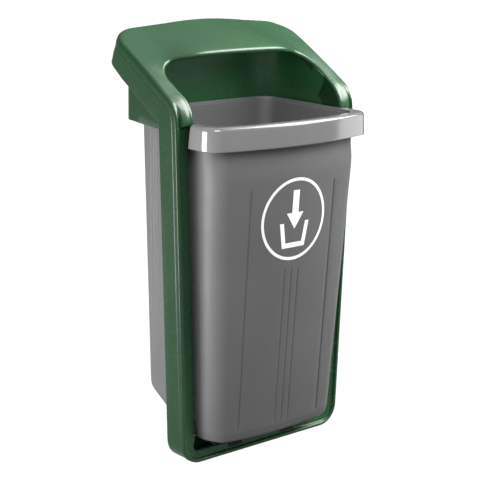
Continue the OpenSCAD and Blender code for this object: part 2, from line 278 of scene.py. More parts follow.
def cut(ob, cutters):
    for c in cutters:
        md = ob.modifiers.new("bore", "BOOLEAN")
        md.operation = "DIFFERENCE"
        md.solver = "EXACT"
        md.object = c
    settle(ob)
    for c in cutters:
        me = c.data
        bpy.data.objects.remove(c)
        bpy.data.meshes.remove(me)


def piece(ob, body, slot, mats, *replaced):
    for m in mats:
        ob.data.materials.append(m)
    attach(ob, body)
    if replaced:
        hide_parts(*replaced)
    return ob


# ---------------------------------------------------------------------------
# The surround is laid out on a ribbon: s runs up the upright face, round the
# bend and along the roof slope (s = 0 where the slope starts); h stands out.
# ---------------------------------------------------------------------------
BR = 56.0
BZ = 664.0 - BR * math.tan(math.radians(30.0))
ARC = BR * math.radians(60.0)
TAPER = math.atan(23.0 / BZ)
ROOF = 208.0
CR = 54.0
BACK = 203.8


def ribbon(x, s, h):
    x, s, h = np.broadcast_arrays(np.asarray(x, float), np.asarray(s, float), np.asarray(h, float))
    a = np.clip(math.radians(60.0) + np.minimum(s, 0.0) / BR, 0.0, None)
    y = BR - (BR + h) * np.cos(a)
    z = BZ + (BR + h) * np.sin(a)
    c, sn = math.cos(math.radians(30.0)), math.sin(math.radians(30.0))
    y = np.where(s >= 0, BR * (1 - sn) + c * s - sn * h, y)
    z = np.where(s >= 0, BZ + BR * c + sn * s + c * h, z)
    y = np.where(s <= -ARC, -h, y)
    z = np.where(s <= -ARC, BZ + s + ARC, z)
    return np.stack([x, y, z], -1)


def flat_back(p):
    """Keep everything in front of the wall plane, with a soft edge."""
    k = 1.6
    p[:, 1] = BACK - k * np.logaddexp(0.0, (BACK - p[:, 1]) / k)
    return p


def s_of(z):
    return z - BZ - ARC


def half(s):
    if s <= -ARC:
        return 192.0 + (s + ARC + BZ) * math.tan(TAPER)
    if s <= 0:
        return 215.0
    return 215.0 - 3.2 * (s / 165.0) ** 1.15


# --- outline stations of the right half, foot middle -> rear middle of the roof
FOOT_C = (192.0 + 40.0 * math.tan(TAPER) - 40.0 / math.cos(TAPER), 40.0)
outline = []      # (kind, P (x, s), inward direction, tag)
for x in (0, 25, 50, 75, 95, 115, 132, 145):
    outline.append(("leg", (x, s_of(0.0)), (0.0, 1.0), ("foot", x)))
for i in range(15):
    a = math.radians(-90.0 + (90.0 - math.degrees(TAPER)) * i / 14.0)
    outline.append(("leg", (FOOT_C[0] + 40.0 * math.cos(a), s_of(40.0 + 40.0 * math.sin(a))),
                    (-math.cos(a), -math.sin(a)), ("corner", a)))
for z in (48, 62, 80, 105, 135, 170, 210, 250, 290, 330, 370, 410, 450, 490, 525, 555, 580, 600, 612, 620):
    outline.append(("leg", (half(s_of(z)), s_of(z)), (-math.cos(TAPER), math.sin(TAPER)), ("side", z)))
for s in (-64.6, -63.0, -61.6):
    outline.append(("leg", (215.0, s), (-1.0, 0.0), ("bend", s)))
NOSE_G = {-61.0: 0.0, -60.85: 0.28, -60.5: 0.52, -59.9: 0.74, -59.0: 0.90, -57.7: 0.98}
for s in (-61.0, -60.85, -60.5, -59.9, -59.0, -57.7, -55.8, -53.4, -51.0, -48.0, -44.5, -42.0, -39.0, -36.0, -32.5, -29.0, -25.0, -21.0,
          -17.0, -13.0, -9.0, -4.5):
    outline.append(("bend", (215.0, s), (-1.0, 0.0), ("bend", s)))
for s in (0, 4, 9, 14, 20, 27, 34, 41, 48, 55, 62, 69, 76, 83, 90, 97, 104, 111, 118, 125, 132, 139, 145, 150, 154):
    outline.append(("roof", (half(s), s), (-1.0, 0.0), ("arm", s)))
RCX = half(ROOF - CR) - CR
for i in range(1, 17):
    a = math.radians(90.0 * i / 16.0)
    outline.append(("roof", (RCX + CR * math.cos(a), ROOF - CR + CR * math.sin(a)), (-math.cos(a), -math.sin(a)), ("rcorner", a)))
for x in (150, 141, 131, 121, 110, 98, 85, 71, 57, 43, 29, 14, 0):
    outline.append(("roof", (float(x), ROOF), (0.0, -1.0), ("rear", x)))


# --- mouth edge, from the lower end of the nose to the middle of the top edge
def spline(ctrl, n=24):
    p = np.asarray(ctrl, float)
    p = np.vstack([2 * p[0] - p[1], p, 2 * p[-1] - p[-2]])
    out = []
    for i in range(1, len(p) - 2):
        for k in range(n):
            t = k / n
            a, b, c, d = p[i - 1], p[i], p[i + 1], p[i + 2]
            out.append(0.5 * ((2 * b) + (c - a) * t + (2 * a - 5 * b + 4 * c - d) * t * t + (3 * b - a - 3 * c + d) * t ** 3))
    out.append(p[-2])
    return np.array(out)


MOUTH = [(177.0, -68), (176.3, -42), (176.2, -20), (177.0, 0), (178.8, 18), (179.9, 33), (179.8, 44), (178.2, 55), (174.6, 66),
         (168.6, 76.0), (160.5, 83.6), (151.5, 87.6), (143.5, 87.6), (136, 84.9), (128, 81.6), (118, 78.6), (107, 77.0), (90, 75.6),
         (60, 75.2), (30, 75.0), (0, 75.0)]
mouth = spline(MOUTH)
m_len = np.concatenate([[0], np.cumsum(np.linalg.norm(np.diff(mouth, axis=0), axis=1))])
m_tan = np.gradient(mouth, axis=0)
m_tan /= np.linalg.norm(m_tan, axis=1)[:, None]
m_nrm = np.stack([-m_tan[:, 1], m_tan[:, 0]], 1)      # into the opening
m_nrm[-1] = (0.0, -1.0)


def m_at(l):
    q = np.array([np.interp(l, m_len, mouth[:, 0]), np.interp(l, m_len, mouth[:, 1])])
    n = np.array([np.interp(l, m_len, m_nrm[:, 0]), np.interp(l, m_len, m_nrm[:, 1])])
    return q, n / np.linalg.norm(n)


def m_near(p):
    return m_len[np.argmin(np.linalg.norm(mouth - np.asarray(p, float), axis=1))]


up = [i for i, o in enumerate(outline) if o[0] == "roof"]
u_pts = np.array([outline[i][1] for i in up])
u_len = np.concatenate([[0], np.cumsum(np.linalg.norm(np.diff(u_pts, axis=0), axis=1))])


def u_near(p):
    return u_len[np.argmin(np.linalg.norm(u_pts - np.asarray(p, float), axis=1))]


pairs = [((215, 0), (177, 0)), ((214.3, 41), (179.9, 37)), ((213.7, 76), (178.2, 55)), ((212.9, 111), (174.6, 66)),
         ((212.3, 139), (168.6, 76)), ((212.05, 154), (163.5, 81.3)), ((204.8, 181), (155, 86.5)), ((185, 200.8), (143.5, 87.6)),
         ((158, 208), (126, 81)), ((131, 208), (109, 77.2)), ((98, 208), (86, 75.5)), ((57, 208), (52, 75.2)), ((0, 208), (0, 75))]
pu = [u_near(a) for a, b in pairs]
pm = [m_near(b) for a, b in pairs]

# --- height of the roof over the slope plane, a thin plate through chosen points
heights = [
    (211, -57, 0.0), (204, -57, 0.8), (193, -57, 2.6), (180, -57, 2.2), (211, -30, 0.3), (204, -30, 1.0), (193, -30, 2.6), (180, -30, 2.2),
    (215, 0, 1.2), (195, 0, 2.6), (176, 0, 2.5), (215, 20, 2.2), (196, 20, 3.2), (178, 20, 3.2), (214, 42, 3.4), (197, 42, 4.2), (180, 42, 4.3),
    (213.5, 60, 4.0), (196, 60, 4.8), (178, 58, 5.0), (213.5, 76, 4.3), (195, 76, 5.4), (177, 70, 6.2), (213, 92, 4.5), (196, 92, 6.0),
    (182, 88, 7.2), (170, 80, 8.2), (160, 85, 10.2), (151, 88.5, 13.4),
    (143.5, 88.5, 16.4), (136, 86, 19.8), (128, 82.6, 23.4), (118, 79.6, 27.2), (107, 78, 30.0), (90, 76.5, 32.3), (60, 76, 33.8), (30, 76, 34.4), (0, 76, 34.6),
    (212.5, 110, 4.5), (196, 110, 6.3), (182, 110, 7.9), (165, 110, 10.6), (150, 110, 13.6), (136, 110, 18.6), (122, 110, 23.2), (107, 110, 26.9),
    (90, 110, 29.4), (60, 110, 31.3), (0, 110, 32.2),
    (212, 140, 4.4), (196, 140, 6.0), (180, 140, 7.6), (165, 140, 9.6), (150, 140, 12.0), (130, 140, 16.9), (107, 140, 21.8), (80, 140, 25.2),
    (45, 140, 28.0), (0, 140, 28.9),
    (207, 172, 4.2), (194, 172, 5.0), (178, 172, 6.4), (160, 172, 8.2), (140, 172, 10.9), (120, 172, 14.0), (95, 172, 17.6), (60, 172, 21.4), (0, 172, 24.0),
    (190, 194, 3.4), (175, 202, 4.2), (158, 205, 5.2), (140, 206, 7.0), (115, 207, 9.2), (90, 207, 11.8), (60, 207, 15.0), (30, 207, 17.2), (0, 207, 18.0)]
hc = np.array(heights + [(-x, s, h) for x, s, h in heights if x > 1], float)
cxy = hc[:, :2] / 100.0


def tps(r2):
    return np.where(r2 > 1e-12, 0.5 * r2 * np.log(np.maximum(r2, 1e-12)), 0.0)


nc = len(hc)
A = np.zeros((nc + 3, nc + 3))
A[:nc, :nc] = tps(((cxy[:, None, :] - cxy[None, :, :]) ** 2).sum(-1)) + 0.002 * np.eye(nc)
A[:nc, nc] = 1.0
A[:nc, nc + 1:] = cxy
A[nc, :nc] = 1.0
A[nc + 1:, :nc] = cxy.T
coef = np.linalg.solve(A, np.concatenate([hc[:, 2], np.zeros(3)]))


def crown(x, s):
    p = np.stack(np.broadcast_arrays(np.abs(np.asarray(x, float)), np.asarray(s, float)), -1)
    q = p.reshape(-1, 2) / 100.0
    v = tps(((q[:, None, :] - cxy[None, :, :]) ** 2).sum(-1)) @ coef[:nc] + coef[nc] + q @ coef[nc + 1:]
    v = v.reshape(p.shape[:-1])
    return v


LIP = 4.2
PHI = np.radians([11, 22, 33, 45, 56, 68, 79, 90])
NB = 32
BEAD = 5.6
BETA = np.radians([15, 30, 45, 60, 75, 90])
leg_poly = np.array([(3.2, 0.0), (4.4, 0.05), (5.4, 0.4), (6.2, 1.1), (6.8, 2.2), (7.2, 3.6), (7.8, 4.9), (8.8, 5.7), (10.5, 6.2),
                     (14.0, 6.9), (17.2, 7.6)])
ll = np.concatenate([[0], np.cumsum(np.linalg.norm(np.diff(leg_poly, axis=0), axis=1))])
lt = np.linspace(0, ll[-1], NB + 1)[1:]
wall_on = [(0.9, 12.3), (-0.6, 12.1), (-1.3, 11.2), (-1.2, 9.0), (-1.0, LIP)]
leg_on = wall_on + [(-1 + LIP * (1 - math.cos(f)), LIP - LIP * math.sin(f)) for f in PHI]
leg_on += list(zip(np.interp(lt, ll, leg_poly[:, 0]), np.interp(lt, ll, leg_poly[:, 1])))
leg_on += [(17.2 + 3.4 * math.sin(b), 7.6 + 3.4 * (1 - math.cos(b))) for b in BETA]
leg_on += [(20.6, 12.5), (20.6, 14.5), (20.6, 17.0)]
leg_on = np.array(leg_on)
K = len(leg_on)


def flange_depth(o):
    return np.interp(o, np.concatenate([leg_on[4:45, 0], [20.6]]), np.concatenate([leg_on[4:45, 1], [11.0]]))


def cover_section(st, side):
    kind, P, m, tag = st
    P = np.asarray(P, float)
    m = np.asarray(m, float)
    if kind == "leg":
        t, v = tag
        w, deep = 20.6, 17.0
        if t == "side":
            w = float(np.interp(v, [48, 62, 105, 150, 220, 300, 400], [32.3, 30.1, 31.6, 32.5, 33.3, 33.2, 32.6]))
            deep = float(np.interp(v, [105, 135], [11.8, 17.0]))
            if side > 0:
                w = w + (20.6 - w) * float(ramp(500.0, 525.0, v) * (1 - ramp(580.0, 600.0, v)))
        elif t == "corner":
            w = 20.6 + 11.7 * float(ramp(-80.0, 0.0, math.degrees(v)))
            deep = 11.8
        elif t == "bend":
            w = 33.0
        else:
            deep = 11.8
        o = np.where(leg_on[:, 0] > 8.8, 8.8 + (leg_on[:, 0] - 8.8) * (w - 8.8) / 11.8, leg_on[:, 0])
        n = np.minimum(leg_on[:, 1], np.where(leg_on[:, 0] > 20.5, deep, 99.0))
        n[-3:] = [11.0 + (deep - 11.0) * f for f in (0.3, 0.65, 1.0)]
        q = P[None, :] + o[:, None] * m[None, :]
        return np.column_stack([q, -n])
    s0 = P[1]
    if kind == "bend":
        Q, nq = m_at(np.interp(s0, mouth[:240, 1], m_len[:240]))
        R = float(np.interp(s0, [-56, -20, 0], [4.2, 4.4, 5.5]))
    else:
        l = np.interp(u_near(P), pu, pm)
        Q, nq = m_at(l)
        t, v = tag
        if t == "arm":
            R = float(np.interp(v, [0, 40, 80, 120, 154], [5.2, 6.0, 7.0, 8.0, 9.0]))
        elif t == "rcorner":
            R = 9.5
        else:
            R = 9.5
    Qi = Q - BEAD * nq
    start = P - m
    D = Qi - start
    L = np.linalg.norm(D)
    D = D / L
    rows = [(*(P + o * m), -n) for o, n in wall_on]
    d = R * (1 - np.cos(PHI))
    d2 = R + (L - R) * np.linspace(0, 1, NB + 1)[1:]
    dd = np.concatenate([d, d2])
    xy = start[None, :] + dd[:, None] * D[None, :]
    hs = crown(xy[:, 0], xy[:, 1])
    e = np.concatenate([np.sin(PHI), np.ones(NB)])
    h = -LIP + (LIP + hs) * e
    if s0 < 45:
        v1 = 5.2 * (1 - ramp(-56.0, -14.0, s0))
        v2 = float(np.interp(s0, [-56, -25, 0, 42], [0.6, 0.4, 0.2, 0.0]))
        h = h - v1 * np.exp(-((dd - 9.0) / 2.6) ** 2) - v2 * np.exp(-((L - dd - 5.0) / 3.2) ** 2)
    rows += list(zip(xy[:, 0], xy[:, 1], h))
    hq = h[-1]
    for b in BETA:
        q = Qi + BEAD * math.sin(b) * nq
        rows.append((q[0], q[1], hq - BEAD * (1 - math.cos(b))))
    Qe = Qi + BEAD * nq
    deep = float(np.interp(s0, [-60, 35, 80, 154], [38.0, 38.0, 8.0, 2.0])) if tag[0] in ("bend", "arm") else 1.4
    for f in (0.12, 0.5, 1.0):
        rows.append((Qe[0], Qe[1], hq - BEAD - deep * f))
    rows = np.array(rows)
    g = NOSE_G.get(round(float(s0), 2), 1.0) if kind == "bend" else 1.0
    if g < 1.0:
        o = P[0] - rows[:, 0]
        low = -np.where(o > 20.6, 11.0, flange_depth(o))
        low[:5] = rows[:5, 2]
        low[-3:] = np.minimum(rows[-3:, 2], low[-3:])
        rows[:, 2] = low + (rows[:, 2] - low) * g
    return rows


def loop_stations(fn):
    right = [fn(o, 1) for o in outline]
    left = [fn(o, -1) * np.array([-1.0, 1.0, 1.0]) for o in outline]
    return right + left[-2:0:-1]


def loft(name, stations, closed=True):
    n, k = len(stations), len(stations[0])
    verts = flat_back(np.concatenate([ribbon(a[:, 0], a[:, 1], a[:, 2]) for a in stations]))
    faces = []
    for i in range(n if closed else n - 1):
        j = (i + 1) % n
        for c in range(k - 1):
            faces.append((i * k + c, j * k + c, j * k + c + 1, i * k + c + 1))
    return raw_object(name, verts, faces)


cover = loft("front_frame_moulding", loop_stations(cover_section))
mid = outline.index([o for o in outline if o[3] == ("rear", 57)][0])
solid_from_sheet(cover, 0.0032, (mid * (K - 1) + 30, (0.0, -0.3, 1.0)))
tidy(cover, 50.0)
piece(cover, "surround", "green_plastic", [green], "front_frame")


# --- rear moulding: band sides, back web and ledge, then the box
def open_x(z):
    return 158.0 + (z - 30.0) * 20.5 / 602.0


def shell_section(st, side):
    kind, P, m, tag = st
    P = np.asarray(P, float)
    m = np.asarray(m, float)
    t, v = tag
    R = 1.4
    if t == "foot":
        W = (min(v, 143.0 * v / 145.0), s_of(30.0))
    elif t == "corner":
        W = (143.0 + 15.0 * math.cos(v), s_of(45.0 + 15.0 * math.sin(v)))
    elif t == "side":
        W = (open_x(max(v, 46.0)) + 2.5 * float(ramp(600, 631, v)), s_of(max(v, 46.0)))
    elif t in ("bend", "arm"):
        W = (181.0, v if t == "bend" or v < 144 else 144.0 + (v - 144) * 0.1)
        if t == "arm":
            R = float(np.interp(v, [0, 125, 154], [1.4, 1.4, 5.0]))
    elif t == "rcorner":
        a = v
        W = (163.0 + 18.0 * math.cos(a), (179.0 + 18.0 * math.sin(a) - 53.5) / 0.866)
        R = 5.0
    else:
        W = (v * 163.0 / RCX, (197.0 - 53.5) / 0.866)
        R = 5.0
    W = np.asarray(W, float)
    rows = [(*(P + 0.7 * m), -12.1), (*P, -12.85)]
    rows += [(*P, -n) for n in (16.0, 22.0, 28.0, 34.0)]
    rows += [(*P, -(52.0 - R))]
    for f in np.radians([15, 30, 45, 60, 75, 90]):
        rows.append((*(P + R * (1 - math.cos(f)) * m), -(52.0 - R + R * math.sin(f))))
    a = np.array(rows[-1][:2])
    for f in np.linspace(0, 1, 11)[1:]:
        rows.append((*(a + (W - a) * f), -52.0))
    return np.array(rows)


shell = loft("hood_shell_moulding", loop_stations(shell_section))
KS = len(shell_section(outline[0], 1))
leg_i = outline.index([o for o in outline if o[3] == ("side", 330)][0])
solid_from_sheet(shell, 0.0040, (leg_i * (KS - 1) + 3, (1.0, 0.0, 0.0)))
tidy(shell, 45.0)

path = [(183.0, y) for y in (47.0, 62, 80, 98, 116, 134, 150, 165)]
path += [(163.0 + 20.0 * math.cos(a), 179.0 + 20.0 * math.sin(a)) for a in np.radians(np.linspace(0, 90, 13))]
path += [(x, 199.0) for x in (135.0, 105, 75, 45, 15)]
path = path + [(-x, y) for x, y in path[::-1]]
pin = []
for x, y in path:
    sg = 1 if x > 0 else -1
    if y < 134.5:
        pin.append((sg * 178.5, y))
    elif abs(x) < 118.5:
        pin.append((x, 194.5))
    else:
        a = math.atan2(y - 134.5, abs(x) - 118.5)
        pin.append((sg * (118.5 + 60.0 * math.cos(a)), 134.5 + 60.0 * math.sin(a)))


def box_top(y):
    return 680.2 + 0.57735 * (y - 28.0) + 0.5


def box_low(y):
    return 609.0 + 12.5 * y / 210.0


def wall_rows(y):
    lo, hi = box_low(y), box_top(y)
    return [lo + (hi - lo) * f for f in (0.0, 0.15, 0.35, 0.55, 0.75, 0.9, 1.0)]


verts, faces = [], []
for (x, y), (xi, yi) in zip(path, pin):
    zo = wall_rows(y)
    zi = wall_rows(yi)
    lo = [(x, y, z) for z in zo]
    li = [(xi, yi, z) for z in zi[::-1]]
    # rounded lower edge
    ring = [((x * 0.75 + xi * 0.25), (y * 0.75 + yi * 0.25), zo[0] - 0.9), *[(x, y, z + (0.6 if k == 0 else 0.0)) for k, z in enumerate(zo)],
            *li[:-1], (xi, yi, zi[0] + 0.6), ((x * 0.25 + xi * 0.75), (y * 0.25 + yi * 0.75), zo[0] - 0.9)]
    verts += ring
nb = len(verts) // len(path)
for i in range(len(path) - 1):
    for c in range(nb):
        d = (c + 1) % nb
        faces.append((i * nb + c, i * nb + d, (i + 1) * nb + d, (i + 1) * nb + c))
faces.append(tuple(range(nb)))
faces.append(tuple(range((len(path) - 1) * nb + nb - 1, (len(path) - 1) * nb - 1, -1)))
box = raw_object("hood_box", verts, faces)
tidy(box, 40.0)
bores = []
for sx in (-22.0, 22.0):
    bores.append(drill("bore", (sx, 194.0, 630.0), (0, 1, 0), 0.0, 8.0, 4.3))
    bores.append(drill("sink", (sx, 194.3, 630.0), (0, 1, 0), 0.0, 4.2, 7.4, 4.3))
cut(box, bores)

LOCK_X = 192.0 + 575.0 * math.tan(TAPER) + 1.0
pad = turned("lock_pad", (LOCK_X, 26.0, 575.0), (1, 0, 0),
             [(-6.8, 9.56), (-6.8, 13.1), (-0.9, 13.1), (-0.3, 12.85), (0.0, 12.3), (0.0, 9.56)], 64)
cut(shell, [drill("lock_bore", (LOCK_X - 20.0, 26.0, 575.0), (1, 0, 0), 0.0, 30.0, 10.6, None, 64)])
join(shell, box)
join(shell, pad)
tidy(shell, 45.0, False)
piece(shell, "surround", "green_plastic", [green], "hood_shell")

# ---------------------------------------------------------------------------
# Container
# ---------------------------------------------------------------------------
GD = [(-3.0, 0.0), (-2.3, 0.12), (-1.5, 0.75), (-0.7, 1.2), (0.0, 1.3), (0.7, 1.2), (1.5, 0.75), (2.3, 0.12), (3.0, 0.0)]
GW = [(-3.0, 0.0), (-2.4, 0.15), (-1.7, 1.1), (-0.9, 1.6), (0.0, 1.7), (0.9, 1.6), (1.7, 1.1), (2.4, 0.15), (3.0, 0.0)]


def groove_x(z):
    return 98.0 + (z - 54.0) * 3.0 / 463.0


def groove_y(z, k):
    return (125.5, 133.6, 143.4)[k] + (555.0 - z) * 0.0275


front_cols = [("x", 0.0, 0, d, e) for d, e in GD if d >= 0]
front_cols += [("f", 0.058)]
front_cols += [("x", 16.3, 0, d, e) for d, e in GD]
front_cols += [("f", f) for f in (0.185, 0.24, 0.30, 0.37, 0.44, 0.52, 0.60, 0.67)]
front_cols += [("x", None, 1, d, e) for d, e in GW]
front_cols += [("f", f) for f in (0.86, 0.93, 1.0)]
NCOR, NS1, NS2, NR = 12, 14, 9, 6


def along(z, lo, hi, r=4.0):
    return float(ramp(lo, lo + r, z) * (1 - ramp(hi - r, hi, z)))


def base_low(y):
    v = (y - 42.0) * 0.553
    return 42.0 + 0.5 * (v + math.sqrt(v * v + 60.0)) - 4.0 * (1.0 - float(ramp(-34.0, -16.0, y)))


def tub_cols(z, o, grooves=False, zlow=42.0):
    t = (z - 42.0) / 598.0
    hf, hr = 154.5 + 22.5 * t, 150.0 + 13.0 * t
    yf, yr = -47.0 - 39.0 * t + 9.0 * float(ramp(540.0, 592.0, z)), 180.0 + 10.0 * t
    rf, rr, R = 40.0, 36.0, 640.0
    xc = hf - rf
    yb = yf + R
    yc = yb - math.sqrt((R - rf) ** 2 - xc * xc)
    a = math.atan2(yc - yb, xc)
    out = []
    for c in front_cols:
        dep = 0.0
        if c[0] == "f":
            x = c[1] * (R - o) * math.cos(a)
        else:
            gx = groove_x(z) if c[2] else c[1]
            x = gx + c[3]
            if grooves:
                dep = c[4] * (along(z, 57.0, 518.5) if c[2] else along(z, 59.0, 362.0))
        out.append((x, yb - math.sqrt((R - o - dep) ** 2 - x * x)))
    r = rf - o
    a5 = math.radians(5.0)
    for i in range(1, NCOR + 1):
        th = a + (a5 - a) * i / NCOR
        out.append((xc + r * math.cos(th), yc + r * math.sin(th)))
    q = rr - o
    cx, cy = hr - rr, yr - rr
    p0 = np.array(out[-1])
    p1 = np.array((cx + q * math.cos(a5), cy + q * math.sin(a5)))

    def at(y, dep=0.0):
        if y <= p1[1]:
            k = (y - p0[1]) / (p1[1] - p0[1])
            p = p0 + (p1 - p0) * k
            return (p[0] - dep, p[1])
        th = math.asin(min(1.0, (y - cy) / q))
        return (cx + (q - dep) * math.cos(th), cy + (q - dep) * math.sin(th))

    ya = groove_y(z, 0) - 4.0
    for i in range(1, NS1 + 1):
        out.append(at(p0[1] + (ya - p0[1]) * i / NS1))
    for k in range(3):
        for d, e in GD:
            dep = e * along(z, zlow + 8.0, 700.0, 8.0) * 0.9 if grooves else 0.0
            out.append(at(groove_y(z, k) + d, dep))
    yl = groove_y(z, 2) + 4.0
    th0 = math.asin(max(-1.0, min(1.0, (yl - cy) / q))) if yl > p1[1] else None
    if th0 is None:
        out.append(at(yl))
        for i in range(1, NS2):
            th = a5 + (math.pi / 2 - a5) * i / (NS2 - 1)
            out.append((cx + q * math.cos(th), cy + q * math.sin(th)))
    else:
        for i in range(NS2):
            th = th0 + (math.pi / 2 - th0) * i / (NS2 - 1)
            out.append((cx + q * math.cos(th), cy + q * math.sin(th)))
    xe, ye = out[-1]
    for i in range(1, NR + 1):
        out.append((xe * (1 - i / NR), ye))
    return np.array(out)


NC = len(tub_cols(300.0, 0.0))
REAR0 = NC - NR - 1            # last column on the rear arc


def tub_top(y):
    return 635.5 + (y + 16.0) * 6.0 / 246.0 if y > -16.0 else 634.6


rows_z = [66, 72, 84, 100, 120, 145, 172, 200, 235, 270, 305, 330, 346, 354, 357.5, 359.5, 361, 362.5, 366, 385, 415, 445, 475, 498, 509,
          513.5, 515.5, 517, 518.5, 522, 535, 552, 570, 585, 600, 612, 622, 629]


def soft(y):
    """Share of the front's base rounding that is kept at depth y."""
    return 1.0 - 0.68 * float(ramp(10.0, 70.0, y))


def tub_row(kind, val, o, grooves=False):
    """One ring of the container's wall: kind 'z' is a plain height, 'low' is above the base line, 'top' below the top edge."""
    if kind == "z":
        z0 = val
        pts = tub_cols(z0, o, False)
        out = []
        for c in range(NC):
            zb = base_low(pts[c][1]) + 20.0
            z = val if val >= 240 else 240.0 - (240.0 - val) * (240.0 - zb) / (240.0 - 62.0)
            p = tub_cols(z, o, grooves, zb - 20.0)[c] if (abs(z - z0) > 0.01 or grooves) else pts[c]
            out.append((p[0], p[1], z))
        return out
    if kind == "low":
        pts = tub_cols(max(42.0, 42.0 + val), o, False)
        out = []
        for c in range(NC):
            k = soft(pts[c][1]) if grooves is None else 1.0
            z = base_low(pts[c][1]) + val * k
            p = tub_cols(z, o * k, False)[c]
            out.append((p[0], p[1], base_low(p[1]) + val * k))
        return out
    pts = tub_cols(636.0 - val, o, False)
    return [(p[0], p[1], tub_top(p[1]) - val) for p in pts]


rings = []
for f in np.radians([90, 75, 60, 45, 30, 15]):
    rings.append(tub_row("low", 7.0 - 7.0 * math.sin(f), 1.5 + 7.0 * (1 - math.cos(f)), None))
for v, o in ((7.5, 1.45), (11.0, 0.95), (14.5, 0.40), (16.5, 0.12), (19.0, 0.0)):
    rings.append(tub_row("low", v, o, None))
for z in rows_z:
    rings.append(tub_row("z", z, 0.0, True))
for f in np.radians([0, 30, 60, 90, 120, 150, 180]):
    rings.append(tub_row("top", 2.0 - 2.0 * math.sin(f), 2.0 - 2.0 * math.cos(f)))
rings.append(tub_row("top", 6.0, 4.0))
rings.append(tub_row("top", 6.6, 4.25))
rings.append(tub_row("top", 7.0, 5.0))
rings.append(tub_row("top", 8.0, 5.05))
for z in (615, 580, 520, 440, 360, 280, 240, 190, 140, 95):
    rings.append(tub_row("z", z, 5.0))
rings.append(tub_row("low", 12.0, 5.0))
for f in np.radians([20, 45, 70, 90]):
    rings.append(tub_row("low", 4.5 + 6.0 - 6.0 * math.sin(f), 5.0 + 6.0 * (1 - math.cos(f))))

verts, faces = [], []
loop_n = 2 * NC - 2
for ring in rings:
    ring = list(ring)
    verts += ring + [(-x, y, z) for x, y, z in ring[-2:0:-1]]
nr = len(rings)
for i in range(nr - 1):
    for c in range(loop_n):
        d = (c + 1) % loop_n
        faces.append((i * loop_n + c, i * loop_n + d, (i + 1) * loop_n + d, (i + 1) * loop_n + c))


def mirror_col(c):
    return (loop_n - c) % loop_n


for base in (0, (nr - 1) * loop_n):
    faces.append((base, base + 1, base + mirror_col(1)))
    for c in range(1, REAR0 - 1):
        faces.append((base + c, base + c + 1, base + mirror_col(c + 1), base + mirror_col(c)))
    c = REAR0 - 1
    faces.append(tuple([base + c] + [base + k for k in range(c + 1, mirror_col(c) + 1)]))
tub = raw_object("container_tub", verts, faces)
tidy(tub, 50.0)
cut(tub, [drill("drain", (sx, y, 37.0), (0, 0, 1), 0.0, 20.0, 4.0, None, 32) for sx in (-90.0, 90.0) for y in (-20.0, 15.0)])

# --- the deep front rim, folded over the container's edge
R_HF, R_HR, R_YF, R_YR, R_RF = 192.0, 188.0, -93.0, 200.0, 34.0


def rim_pts(o, end=-9.0):
    R = 640.0
    xc = R_HF - R_RF
    yb = R_YF + R
    yc = yb - math.sqrt((R - R_RF) ** 2 - xc * xc)
    a = math.atan2(yc - yb, xc)
    a5 = math.radians(5.0)
    out = []
    for f in np.linspace(0, 1, 13):
        x = f * (R - o) * math.cos(a)
        out.append((x, yb - math.sqrt((R - o) ** 2 - x * x)))
    r = R_RF - o
    for i in range(1, 17):
        th = a + (a5 - a) * i / 16
        out.append((xc + r * math.cos(th), yc + r * math.sin(th)))
    x0, y0 = out[-1]
    x1 = R_HR - o
    for f in (0.35, 0.7, 1.0):
        y = y0 + (end - y0) * f
        out.append((x0 + (x1 - x0) * (y - y0) / (160.0 - y0), y))
    return np.array(out)


def rim_inner(o):
    """The container's own edge under the rim, station for station."""
    z = 634.0
    t = (z - 42.0) / 598.0
    hf, yf, yr, hr = 154.5 + 22.5 * t, -38.0 - 39.0 * t, 180.0 + 10.0 * t, 150.0 + 13.0 * t
    R, rf = 640.0, 40.0
    xc = hf - rf
    yb = yf + R
    yc = yb - math.sqrt((R - rf) ** 2 - xc * xc)
    a = math.atan2(yc - yb, xc)
    a5 = math.radians(5.0)
    out = []
    for f in np.linspace(0, 1, 13):
        x = f * (R - o) * math.cos(a)
        out.append((x, yb - math.sqrt((R - o) ** 2 - x * x)))
    r = rf - o
    for i in range(1, 17):
        th = a + (a5 - a) * i / 16
        out.append((xc + r * math.cos(th), yc + r * math.sin(th)))
    x0, y0 = out[-1]
    for f in (0.35, 0.7, 1.0):
        y = y0 + (-9.0 - y0) * f
        out.append((x0 + (hr - hf) * (y - y0) / 165.0, y))
    return np.array(out)


RIM_Z, RIM_H = 635.5, 43.0
FLARE = 1.6
prof = [("o", 3.6, 630.6), ("o", 3.6, 612.0), ("o", 3.6, 595.5), ("o", 3.3, 593.6), ("o", 2.5, 592.7), ("o", 1.4, 592.5), ("o", 0.5, 593.0),
        ("o", 0.05, 594.0), ("o", 0.0, 596.0), ("o", 0.0, 606.0), ("o", 0.0, 617.0), ("o", 0.0, 627.5)]
prof += [("o", 7.0 - 7.0 * math.cos(b), 628.5 + 7.0 * math.sin(b)) for b in np.radians([8, 20, 32, 44, 56, 68, 79, 90])]
prof += [("t", 0.25, 635.45), ("t", 0.5, 635.35), ("t", 0.75, 635.25), ("t", 0.90, 635.15), ("t", 0.97, 634.9), ("t", 1.0, 634.2),
         ("t", 1.0, 632.6), ("t", 0.97, 631.6), ("t", 0.80, 630.8), ("t", 0.45, 630.7)]
stations = []
inner = rim_inner(4.7)
o7 = rim_pts(7.0)
for k, v, z in prof:
    if k == "o":
        p = rim_pts(v - FLARE * (RIM_Z - z) / RIM_H, -9.0 + 5.0 * (RIM_Z - z) / RIM_H)
    else:
        p = o7 + (inner - o7) * v
    stations.append(np.column_stack([p, np.full(len(p), z)]))
stations = np.array(stations)                       # profile x path
full = np.concatenate([stations[:, :0:-1] * np.array([-1.0, 1.0, 1.0]), stations], axis=1)
np_, ns_ = full.shape[:2]
verts = full.transpose(1, 0, 2).reshape(-1, 3)
